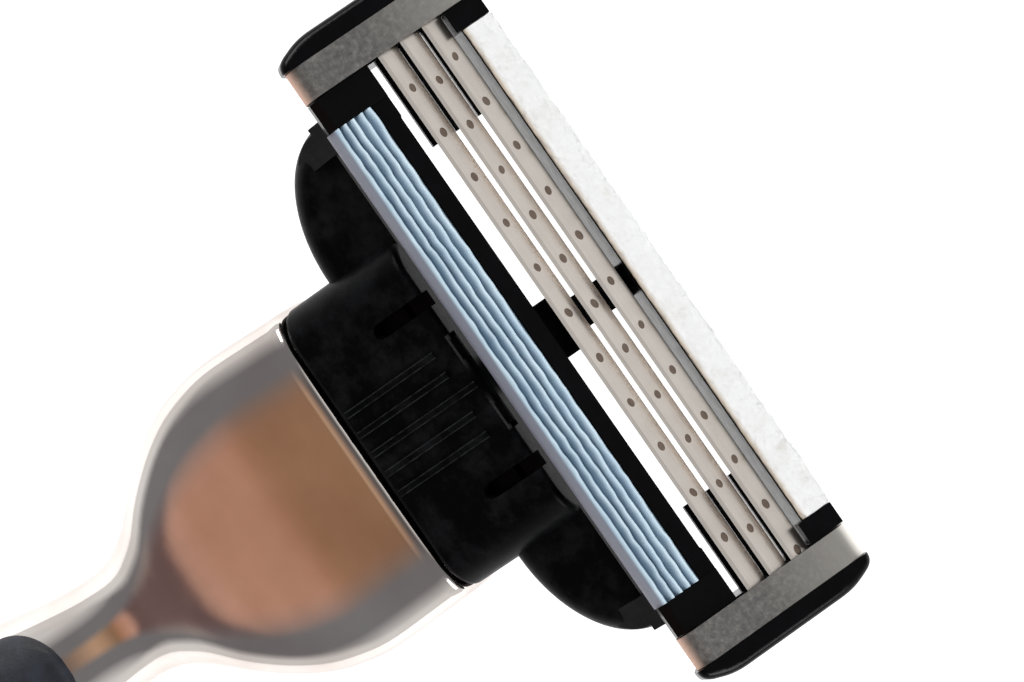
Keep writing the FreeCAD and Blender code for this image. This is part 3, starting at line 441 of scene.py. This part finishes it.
# Outline of the lubricating strip: back, out and how far it has swollen there.
STRIP_OUTLINE = [
    (9.5, -0.98, 0.0),
    (9.5, -0.45, 0.1),
    (9.52, -0.08, 0.5),
    (9.75, 0.08, 1.0),
    (10.3, 0.14, 1.0),
    (10.9, 0.1, 1.0),
    (11.25, -0.05, 1.0),
    (11.38, -0.4, 0.8),
    (11.38, -0.98, 0.0),
]
STRIP_PARTS = 6
STRIP_HALF = 16.08
STRIP_STEP = 0.09
# Size and height of the swollen strip's lumps, and of the cracks between them.
STRIP_LUMPS = ((1.1, 0.1), (0.42, 0.14), (0.17, 0.1))
CRACK_SIZE = 0.3
CRACK_DEPTH = 0.05
CRACK_SHIFT = Vector((7, 3, 1))
LUMP_FLATNESS = 2
# The strip swells away from this line in it: back, out. It swells more outwards than backwards.
STRIP_CORE = (10.4, -0.9)
OUTWARD_BIAS = 1.2


def make_strip():
    """The lubricating strip, swollen by use: a lumpy, cracked top and a ragged rear edge."""
    outline = smooth_path(STRIP_OUTLINE, STRIP_PARTS)
    rows = []
    for along in stations(STRIP_HALF, STRIP_STEP):
        row = []
        for back, out, loose in outline:
            spot = Vector((along, back, out * LUMP_FLATNESS))
            swell = sum(high * noise.noise(spot / size) for size, high in STRIP_LUMPS)
            crack = CRACK_DEPTH * abs(noise.noise(spot / CRACK_SIZE + CRACK_SHIFT))
            lift = loose * (swell - crack)
            outward = Vector((back - STRIP_CORE[0], (out - STRIP_CORE[1]) * OUTWARD_BIAS)).normalized()
            row.append(on_cartridge(along, back + lift * outward.x, out + lift * outward.y))
        rows.append(row)
    skin("swollen_strip", rows, swollen_strip(), "cartridge", ["lubricating_strip"])


FIN_HALF = 15.5
FIN_STEP = 0.12
FIN_FIRST = 0.8
FIN_PITCH = 0.52
FIN_COUNT = 5
FIN_TOP = -0.12
FIN_CLIMB = 0.02
# The soft guard's section before the first fin and behind the last: back, out.
GUARD_FRONT = [(0.34, -1.33), (0.25, -1.3), (0.2, -1.16), (0.31, -0.88), (0.46, -0.58), (0.57, -0.36)]
GUARD_REAR = [(3.05, -0.55), (3.05, -1.33)]
# A fin's section from its crest: the slope up to it, the fin itself and the valley behind it.
FIN_SLOPE = [(-0.3, -0.36), (-0.2, -0.22)]
FIN_CREST = [(-0.11, -0.09), (-0.05, -0.015), (0.0, 0.0), (0.045, -0.03), (0.075, -0.14)]
FIN_VALLEY = [(0.1, -0.34), (0.15, -0.42)]
# The fins' waves: how far, how long, how unlike from fin to fin, and which.
FIN_SWAYS = ((0.08, 1.9, 3.7, 0), (0.045, 0.6, 5.1, 2))
FIN_HEAVE = (0.04, 1.1, 2.3, 5)


def wave(along, fin, far, long, unlike, which):
    """How far a fin is from straight at a place along it."""
    return far * noise.noise(Vector((along / long, fin * unlike, which)))


def fin_outline(along):
    """The fins' section: back, out. The fins sway a little, each in its own way, as soft rubber does."""
    outline = list(GUARD_FRONT)
    for fin in range(FIN_COUNT):
        back = FIN_FIRST + fin * FIN_PITCH + sum(wave(along, fin, *sway) for sway in FIN_SWAYS)
        out = FIN_TOP + FIN_CLIMB * fin + wave(along, fin, *FIN_HEAVE)
        section = [
            *(FIN_SLOPE if fin > 0 else ()),
            *FIN_CREST,
            *(FIN_VALLEY if fin < FIN_COUNT - 1 else ()),
        ]
        outline += [(back + farther, out + higher) for farther, higher in section]
    return outline + GUARD_REAR


def make_fins():
    """The soft guard with its wavy fins."""
    rows = [
        [on_cartridge(along, back, out) for back, out in fin_outline(along)]
        for along in stations(FIN_HALF, FIN_STEP)
    ]
    skin("fins", rows, fin_rubber(), "cartridge", ["guard_fins"])


BLADE_EDGES = ((4.85, -0.16), (6.29, -0.12), (7.73, -0.06))
BLADE_TILT = math.radians(22.0)
WELDS_EACH_WAY = 6
WELD_PITCH = 2.95
WELD_BEHIND = 0.68
WELD_SHIFT = (-0.36, 0.1, -0.48)
WELD_REACH = 17.3
WELD_HALF = (0.27, 0.19)
WELD_SIDES = 20
# A weld's section from its foot to its middle: share of its radius, and height over the blade.
WELD_RINGS = (
    (1.0, -0.02), (1.0, 0.0), (0.94, 0.008), (0.8, 0.013), (0.55, 0.012), (0.3, 0.01), (0.12, 0.01)
)
WELD_LIFT = 0.004
# The welds' unevenness: how high, how many to a millimetre, and how unlike from blade to blade.
WELD_ROUGHNESS = 0.003
WELD_GRAIN = 6
WELD_SEED = 10
# How unlike the welds are: along the blade, in their turn and in their size.
WELD_STRAY = 0.05
WELD_TURN = 0.25
WELD_GROWTH = (0.92, 1.1)


def make_welds():
    """Rows of small oval spot welds that hold each blade on its support."""
    for blade, edge in enumerate(BLADE_EDGES):
        rng = random.Random(blade)
        points, faces = [], []
        for place in range(-WELDS_EACH_WAY, WELDS_EACH_WAY + 1):
            along = place * WELD_PITCH + WELD_SHIFT[blade] + rng.uniform(-WELD_STRAY, WELD_STRAY)
            if abs(along) <= WELD_REACH:
                faces += tube_faces(len(WELD_RINGS), WELD_SIDES, len(points))
                points += weld_points(along, *edge, rng)
        name = f"welds_{blade + 1}"
        finish_piece(name, points, faces, weld_metal(), f"blade_{blade + 1}")


def weld_points(along, edge_back, edge_out, rng):
    """One weld: a low flat button, closed underneath."""
    points = []
    turn = rng.uniform(-WELD_TURN, WELD_TURN)
    grow = rng.uniform(*WELD_GROWTH)
    for share, high in WELD_RINGS:
        for side in range(WELD_SIDES):
            angle = 2 * math.pi * side / WELD_SIDES
            x = WELD_HALF[0] * grow * share * math.cos(angle)
            y = WELD_HALF[1] * grow * share * math.sin(angle)
            x, y = x * math.cos(turn) - y * math.sin(turn), x * math.sin(turn) + y * math.cos(turn)
            spot = Vector((along + x, y, WELD_SEED * edge_back)) * WELD_GRAIN
            lift = WELD_LIFT + high + WELD_ROUGHNESS * noise.noise(spot)
            behind = WELD_BEHIND + y
            back = edge_back + behind * math.cos(BLADE_TILT) + lift * math.sin(BLADE_TILT)
            out = edge_out - behind * math.sin(BLADE_TILT) + lift * math.cos(BLADE_TILT)
            points.append(on_cartridge(along + x, back, out))
    return points


# ------------------------------------------------------------------ handle

HEAD_PITCH = math.radians(20.0)
HEAD_STRAIGHT = 14.0
NECK_RADIUS = 70.0
# Sections of the handle: distance behind the rim, width, thickness and squareness.
HANDLE_SECTIONS = [
    (0.15, 18.9, 7.4, 5.0),
    (3.0, 19.2, 7.5, 5.0),
    (6.0, 19.4, 7.6, 5.0),
    (8.0, 19.0, 7.6, 4.8),
    (10.1, 17.9, 7.6, 4.6),
    (12.2, 15.8, 7.6, 4.4),
    (14.3, 13.0, 7.5, 4.0),
    (16.3, 10.1, 7.2, 3.2),
    (18.4, 7.9, 6.8, 2.6),
    (20.5, 7.1, 6.6, 2.4),
    (23.5, 7.5, 6.8, 2.3),
    (28.0, 9.0, 7.8, 2.4),
    (34.0, 10.8, 9.2, 2.5),
    (42.0, 12.6, 10.8, 2.6),
    (54.0, 13.8, 11.6, 2.7),
    (72.0, 13.8, 11.7, 2.7),
    (90.0, 12.8, 11.5, 2.7),
    (104.0, 11.6, 11.1, 2.6),
    (114.0, 10.6, 10.2, 2.5),
    (119.0, 9.4, 9.0, 2.4),
    (121.6, 7.6, 7.2, 2.2),
    (122.8, 4.6, 4.4, 2.0),
]
SECTION_PARTS = 8
SECTION_CURVE = smooth_path(HANDLE_SECTIONS, SECTION_PARTS)
RING_POINTS = 144


def spine(distance):
    """The handle's middle line: Y and Z in millimetres, and its angle above the surface."""
    straight = min(distance, HEAD_STRAIGHT)
    y = RIM[0] - straight * math.cos(HEAD_PITCH)
    z = RIM[1] - straight * math.sin(HEAD_PITCH)
    if distance <= HEAD_STRAIGHT:
        return y, z, HEAD_PITCH
    angle = HEAD_PITCH - min((distance - HEAD_STRAIGHT) / NECK_RADIUS, HEAD_PITCH)
    y -= NECK_RADIUS * (math.sin(HEAD_PITCH) - math.sin(angle))
    z -= NECK_RADIUS * (math.cos(angle) - math.cos(HEAD_PITCH))
    y -= max(0.0, distance - HEAD_STRAIGHT - NECK_RADIUS * HEAD_PITCH)
    return y, z, angle


def section_at(distance):
    """Width, thickness and squareness at a distance behind the rim."""
    for (d0, *low), (d1, *high) in zip(SECTION_CURVE, SECTION_CURVE[1:]):
        if distance <= d1:
            share = max(0.0, (distance - d0) / (d1 - d0))
            return tuple(a + (b - a) * share for a, b in zip(low, high))
    return tuple(SECTION_CURVE[-1][1:])


def surface_height(distance, across):
    """How far the handle's surface is from its middle line."""
    width, thick, square = section_at(distance)
    return thick / 2 * max(0.0, 1 - abs(2 * across / width) ** square) ** (1 / square)


def handle_point(distance, across, high):
    """A point of the razor's frame, in metres, from its place over the handle's middle line."""
    y, z, angle = spine(distance)
    return Vector((across, y - high * math.sin(angle), z + high * math.cos(angle))) * MM


def handle_ring(distance, shrink=0.0, shape=None):
    """A superellipse around the middle line, no lower than the surface that the razor lies on."""
    width, thick, square = shape or section_at(distance)
    ring = []
    for side in range(RING_POINTS):
        angle = 2 * math.pi * side / RING_POINTS
        c, s = math.cos(angle), math.sin(angle)
        across = math.copysign(abs(c) ** (2 / square), c) * (width / 2 - shrink)
        high = math.copysign(abs(s) ** (2 / square), s) * (thick / 2 - shrink)
        point = handle_point(distance, across, high)
        point.z = max(point.z, 0.0)
        ring.append(point)
    return ring


def handle_rings(start, end, step):
    """Rings from start towards end, a step apart, and the distance at which they stop."""
    rows = []
    distance = start
    while distance < end:
        rows.append(handle_ring(distance))
        distance += step
    return rows, distance


CAP_SEAM = 113.8
BUTT_END = 122.8
# Width, thickness and squareness of the hollow in the head.
CAVITY = (14.6, 5.1, 14.0)
# Edges as rings: distance behind the rim or the seam, and how far the ring is shrunk.
CAVITY_EDGE = ((9.0, 0.0), (0.5, 0.0), (0.25, -0.25))
RIM_EDGE = ((0.15, 0.35), (0.18, 0.2), (0.26, 0.08), (0.45, 0.0))
SEAM_FRONT = ((-0.12, 0.0), (-0.02, 0.12), (0.0, 0.4))
SEAM_BACK = ((0.02, 0.4), (0.04, 0.12), (0.14, 0.0))
# The rings between the edges of the frame and of the end cap: first, limit and step.
FRAME_RINGS = (1.0, CAP_SEAM - 0.5, 0.6)
CAP_RINGS = (CAP_SEAM + 0.5, BUTT_END - 1.5, 0.45)
# The end cap's dome: rings in it, and the smallest, as a share of the first.
DOME_STEPS = 12
DOME_TIP = 0.05


def make_handle():
    """The plated frame, hollow at the head, and its end cap."""
    rows = [handle_ring(distance, shrink, CAVITY) for distance, shrink in CAVITY_EDGE]
    rows += [handle_ring(*edge) for edge in RIM_EDGE]
    rows += handle_rings(*FRAME_RINGS)[0]
    rows += [handle_ring(CAP_SEAM + past, shrink) for past, shrink in SEAM_FRONT]
    shell = skin("handle_shell", rows, plated_metal(), "handle", ["handle_frame"])
    cut_button_slot(shell)
    rows = [handle_ring(CAP_SEAM + past, shrink) for past, shrink in SEAM_BACK]
    rings, dome = handle_rings(*CAP_RINGS)
    rows += rings
    width, thick, square = section_at(dome)
    for step in range(1, DOME_STEPS):
        turn = math.pi / 2 * step / DOME_STEPS
        left = max(math.cos(turn), DOME_TIP)
        place = dome + (BUTT_END - dome) * math.sin(turn)
        rows.append(handle_ring(place, shape=(width * left, thick * left, square)))
    skin("butt_cap", rows, plated_metal(), "handle", ["end_cap"])


# The slot for the button's stem: distances behind the rim, half the width, and heights over the middle line.
SLOT_ENDS = (4.4, 13.1)
SLOT_HALF = 1.35
SLOT_HEIGHTS = (-6.0, -1.5)


def cut_button_slot(shell):
    """The slot in the back of the head, in which the button's stem slides."""
    shape = bmesh.new()
    points = [
        shape.verts.new(handle_point(distance, across, high))
        for distance in SLOT_ENDS
        for across in (-SLOT_HALF, SLOT_HALF)
        for high in SLOT_HEIGHTS
    ]
    bmesh.ops.convex_hull(shape, input=points)
    mesh = bpy.data.meshes.new("button_slot")
    shape.to_mesh(mesh)
    shape.free()
    tool = bpy.data.objects.new("button_slot", mesh)
    bpy.context.scene.collection.objects.link(tool)
    modifier = shell.modifiers.new("slot", "BOOLEAN")
    modifier.object = tool
    modifier.operation = "DIFFERENCE"
    modifier.solver = "EXACT"
    graph = bpy.context.evaluated_depsgraph_get()
    shell.data = bpy.data.meshes.new_from_object(shell.evaluated_get(graph))
    shell.modifiers.clear()
    bpy.data.objects.remove(tool)


class Grip(NamedTuple):
    """A rubber grip. Its side is 1 for the front, -1 for the back. Places are millimetres behind the rim."""

    name: str
    replaced: str
    side: int
    nose: float
    tail: float
    widest: float
    ends: float
    ribs_from: float
    ribs_to: float
    rib_pitch: float


FRONT_GRIP = Grip("front_grip_skin", "front_grip", 1, 23.6, 108.0, 5.3, 3.3, 33.0, 101.0, 2.6)
BACK_GRIP = Grip("back_grip_skin", "back_grip", -1, 44.0, 111.0, 5.2, 3.4, 51.0, 105.0, 3.0)
GRIP_STEP = 0.24
GRIP_COLUMNS = 56
# How far short of the outline's tips the first and last rows are.
GRIP_TIP = 0.02
# The outer face: how far it stands over the handle, how far its rim sinks in, and the rounding between.
GRIP_PROUD = 0.35
GRIP_SINK = 0.25
GRIP_EDGE = 0.7
# The hidden inner face: every so many columns, how far in, and how much narrower.
INNER_STRIDE = 8
INNER_DEPTH = 1.1
INNER_WIDTH = 0.98
# The grooves between ribs: share of the pitch, depth, and roundness, and how they fade towards the rim.
GROOVE_SHARE = 0.42
GROOVE_DEPTH = 0.42
GROOVE_ROUND = 0.7
GROOVE_MARGIN = 0.6
GROOVE_FADE = 0.8


def grip_half(grip, distance):
    """Half the width of a grip's outline: round ends joined by bowed sides."""
    middle = (grip.nose + grip.tail) / 2
    share = (distance - middle) / ((grip.tail - grip.nose) / 2)
    side = grip.widest - (grip.widest - grip.ends) * share**2
    near = min(distance - grip.nose, grip.tail - distance)
    if near < grip.ends:
        side *= math.sqrt(max(0.0, 1 - (1 - near / grip.ends) ** 2))
    return side


def make_grip(grip):
    """A rubber grip let into the handle, with ribs across it."""
    rows = []
    steps = int((grip.tail - grip.nose) / GRIP_STEP)
    for step in range(steps + 1):
        distance = grip.nose + GRIP_TIP + (grip.tail - grip.nose - 2 * GRIP_TIP) * step / steps
        half = grip_half(grip, distance)
        shares = [-1 + 2 * column / GRIP_COLUMNS for column in range(GRIP_COLUMNS + 1)]
        places = [half * math.sin(share * math.pi / 2) for share in shares]
        row = [grip_point(grip, distance, across, half) for across in places]
        for across in places[::-INNER_STRIDE]:
            across *= INNER_WIDTH
            inside = surface_height(distance, across) - INNER_DEPTH
            row.append(handle_point(distance, across, grip.side * inside))
        rows.append(row)
    skin(grip.name, rows, grip_rubber(), "handle", [grip.replaced])


def grip_point(grip, distance, across, half):
    """A point on a grip's outer face, no lower than the surface that the razor lies on."""
    edge = min(half - abs(across), distance - grip.nose, grip.tail - distance)
    ease = min(1.0, max(0.0, edge / GRIP_EDGE))
    proud = -GRIP_SINK + (GRIP_PROUD + GRIP_SINK) * math.sqrt(1 - (1 - ease) ** 2)
    phase = ((distance - grip.ribs_from) / grip.rib_pitch) % 1.0
    if grip.ribs_from < distance < grip.ribs_to and phase < GROOVE_SHARE:
        fade = min(1.0, max(0.0, (half - abs(across) - GROOVE_MARGIN) / GROOVE_FADE))
        proud -= GROOVE_DEPTH * fade * math.sin(math.pi * phase / GROOVE_SHARE) ** GROOVE_ROUND
    point = handle_point(distance, across, grip.side * (surface_height(distance, across) + proud))
    point.z = max(point.z, 0.0)
    return point


# The coil spring in the head: where it starts along DOCK, its length, and its height over the middle line.
SPRING_START = -8.92
SPRING_LONG = 12.59
SPRING_LOW = -0.6
# The radius of the coil's middle and of its wire.
SPRING_MEAN = 1.27
SPRING_WIRE = 0.17
SPRING_TURNS = 8
SPRING_STEPS = 32
SPRING_SIDES = 12


def make_spring():
    """A smooth coil between its seats, of one fixed length; the real spring shortens as the cartridge turns
    and pushes the plunger in.
    """
    length = SPRING_LONG - 2 * SPRING_WIRE
    rows = []
    for step in range(SPRING_TURNS * SPRING_STEPS + 1):
        turn = 2 * math.pi * step / SPRING_STEPS
        outward = ALONG * math.cos(turn) + HEAD_FRONT * math.sin(turn)
        climb = SPRING_START + SPRING_WIRE + length * step / (SPRING_TURNS * SPRING_STEPS)
        middle = DOCK_BASE + (DOCK * climb + HEAD_FRONT * SPRING_LOW + outward * SPRING_MEAN) * MM
        row = []
        for side in range(SPRING_SIDES):
            angle = 2 * math.pi * side / SPRING_SIDES
            row.append(middle + (outward * math.cos(angle) + DOCK * math.sin(angle)) * SPRING_WIRE * MM)
        rows.append(row)
    coil = skin("spring_coil", rows, spring_wire(), "handle", ["plunger_spring"])
    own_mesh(coil)


# ------------------------------------------------------------------ floor, light and camera

FLOOR_REACH = 0.6
SOFTBOX_PLACE = (0.3, 0.08, 0.26)
SOFTBOX_AIM = (0, 0.05, 0.02)
SOFTBOX_SIZE = 0.2
SOFTBOX_POWER = 0.85
CAMERA_AIM = (-0.8, 2.0, 0)
CAMERA_TILT = math.radians(8.5)
CAMERA_ROLL = math.radians(55.25)
CAMERA_FAR = 0.24
CAMERA_CLIP = 0.01
LENS = 157.0
SENSOR = 36.0


def add_floor():
    mesh = bpy.data.meshes.new("floor")
    corners = [(FLOOR_REACH * x, FLOOR_REACH * y, 0) for x, y in ((-1, -1), (1, -1), (1, 1), (-1, 1))]
    mesh.from_pydata(corners, [], [(0, 1, 2, 3)])
    floor = bpy.data.objects.new("floor", mesh)
    bpy.context.scene.collection.objects.link(floor)
    shader = Shader(
        "floor",
        Base_Color=(*grey(0.9), 1),
        Roughness=0.9,
        Emission_Color=(*grey(1), 1),
        Emission_Strength=0.55,
    )
    mesh.materials.append(shader.material)


def add_softbox(name, side):
    """A soft light on one side of the razor: 1 for +X, -1 for -X."""
    light = bpy.data.lights.new(name, "AREA")
    light.shape = "RECTANGLE"
    light.size = SOFTBOX_SIZE
    light.size_y = SOFTBOX_SIZE
    light.energy = SOFTBOX_POWER
    item = bpy.data.objects.new(name, light)
    place = Vector((side * SOFTBOX_PLACE[0], *SOFTBOX_PLACE[1:]))
    item.location = place
    item.rotation_euler = (Vector(SOFTBOX_AIM) - place).to_track_quat("-Z", "Y").to_euler()
    item.visible_camera = False
    bpy.context.scene.collection.objects.link(item)


def add_camera():
    """Nearly straight down on the cartridge, which lies across the picture from upper left to lower right."""
    toward = (OUT * math.cos(CAMERA_TILT) - BACK * math.sin(CAMERA_TILT)).normalized()
    across = (BACK - toward * BACK.dot(toward)).normalized()
    right = ALONG * math.cos(CAMERA_ROLL) + across * math.sin(CAMERA_ROLL)
    up = across * math.cos(CAMERA_ROLL) - ALONG * math.sin(CAMERA_ROLL)
    camera = bpy.data.cameras.new("camera")
    camera.lens = LENS
    camera.sensor_width = SENSOR
    camera.clip_start = CAMERA_CLIP
    item = bpy.data.objects.new("camera", camera)
    turn = Matrix((right, up, toward)).transposed()
    place = on_cartridge(*CAMERA_AIM) + toward * CAMERA_FAR
    item.matrix_world = Matrix.Translation(place) @ turn.to_4x4()
    bpy.context.scene.collection.objects.link(item)
    bpy.context.scene.camera = item


# What lies around the razor above the horizon, from behind the butt (-1) to beyond the cartridge (1).
SURROUNDINGS = [
    (-1.0, (0.75, 0.73, 0.71)),
    (-0.9, (0.5, 0.4, 0.36)),
    (-0.855, (0.17, 0.11, 0.11)),
    (-0.81, (0.14, 0.09, 0.09)),
    (-0.785, (0.62, 0.36, 0.27)),
    (-0.745, (0.5, 0.26, 0.17)),
    (-0.72, (0.36, 0.19, 0.11)),
    (-0.69, (0.28, 0.17, 0.1)),
    (-0.6, (0.55, 0.36, 0.24)),
    (-0.4, (0.16, 0.13, 0.12)),
    (0.1, (0.1, 0.1, 0.1)),
    (0.37, (0.33, 0.33, 0.33)),
    (0.7, (0.75, 0.74, 0.73)),
    (1.0, (0.95, 0.94, 0.92)),
]
# From where to where another colour takes over, sideways or down to the horizon, and that colour.
NEAR_SIDES = ((0.06, 0.2), (0.2, 0.2, 0.21))
FAR_SIDES = ((0.45, 0.8), (0.7, 0.7, 0.7))
HORIZON = ((0.38, 0.2), (0.8, 0.8, 0.8))


def add_world():
    """A bright horizon and sides under a dim sky, so that faces turned to the camera stay dark."""
    world = bpy.data.worlds.new("studio")
    world.use_nodes = True
    nodes = Nodes(world.node_tree)
    direction = nodes.node("ShaderNodeTexCoord").outputs["Generated"]
    split = nodes.node("ShaderNodeSeparateXYZ", {0: direction}).outputs
    stops = [((place + 1) / 2, colour) for place, colour in SURROUNDINGS]
    colour = nodes.ramp(nodes.share(split["Y"], -1, 1), stops)
    sideways = nodes.compute("ABSOLUTE", split["X"])
    for value, (limits, other) in ((sideways, NEAR_SIDES), (sideways, FAR_SIDES), (split["Z"], HORIZON)):
        colour = nodes.blend(nodes.share(value, *limits), colour, other)
    nodes.feed(nodes.tree.nodes["Background"], "Color", colour)
    bpy.context.scene.world = world


paint(["handle_frame", "end_cap"], plated_metal())
paint(["front_grip", "back_grip"], grip_rubber())
satin_black = black_plastic("satin_black", **SATIN_BLACK).material
paint(["dock_carrier", "ejector_fork", "eject_button", "plunger"], satin_black)
paint(["connector"], ribbed_plastic())
paint(["housing"], black_plastic("gloss_black", **GLOSS_BLACK).material)
paint(["guard_fins"], fin_rubber())
paint(["lubricating_strip"], swollen_strip())
paint(["clip_left", "clip_right"], clip_metal())
paint(["blade_1", "blade_2", "blade_3"], blade_steel())
paint(["blade_support_1", "blade_support_2", "blade_support_3"], support_steel())
paint(["plunger_spring"], spring_wire())

make_strip()
make_fins()
make_welds()
make_spring()
make_handle()
make_grip(FRONT_GRIP)
make_grip(BACK_GRIP)

add_floor()
add_world()
add_softbox("left_softbox", -1)
add_softbox("right_softbox", 1)
add_camera()
bpy.context.scene.view_settings.view_transform = "Standard"
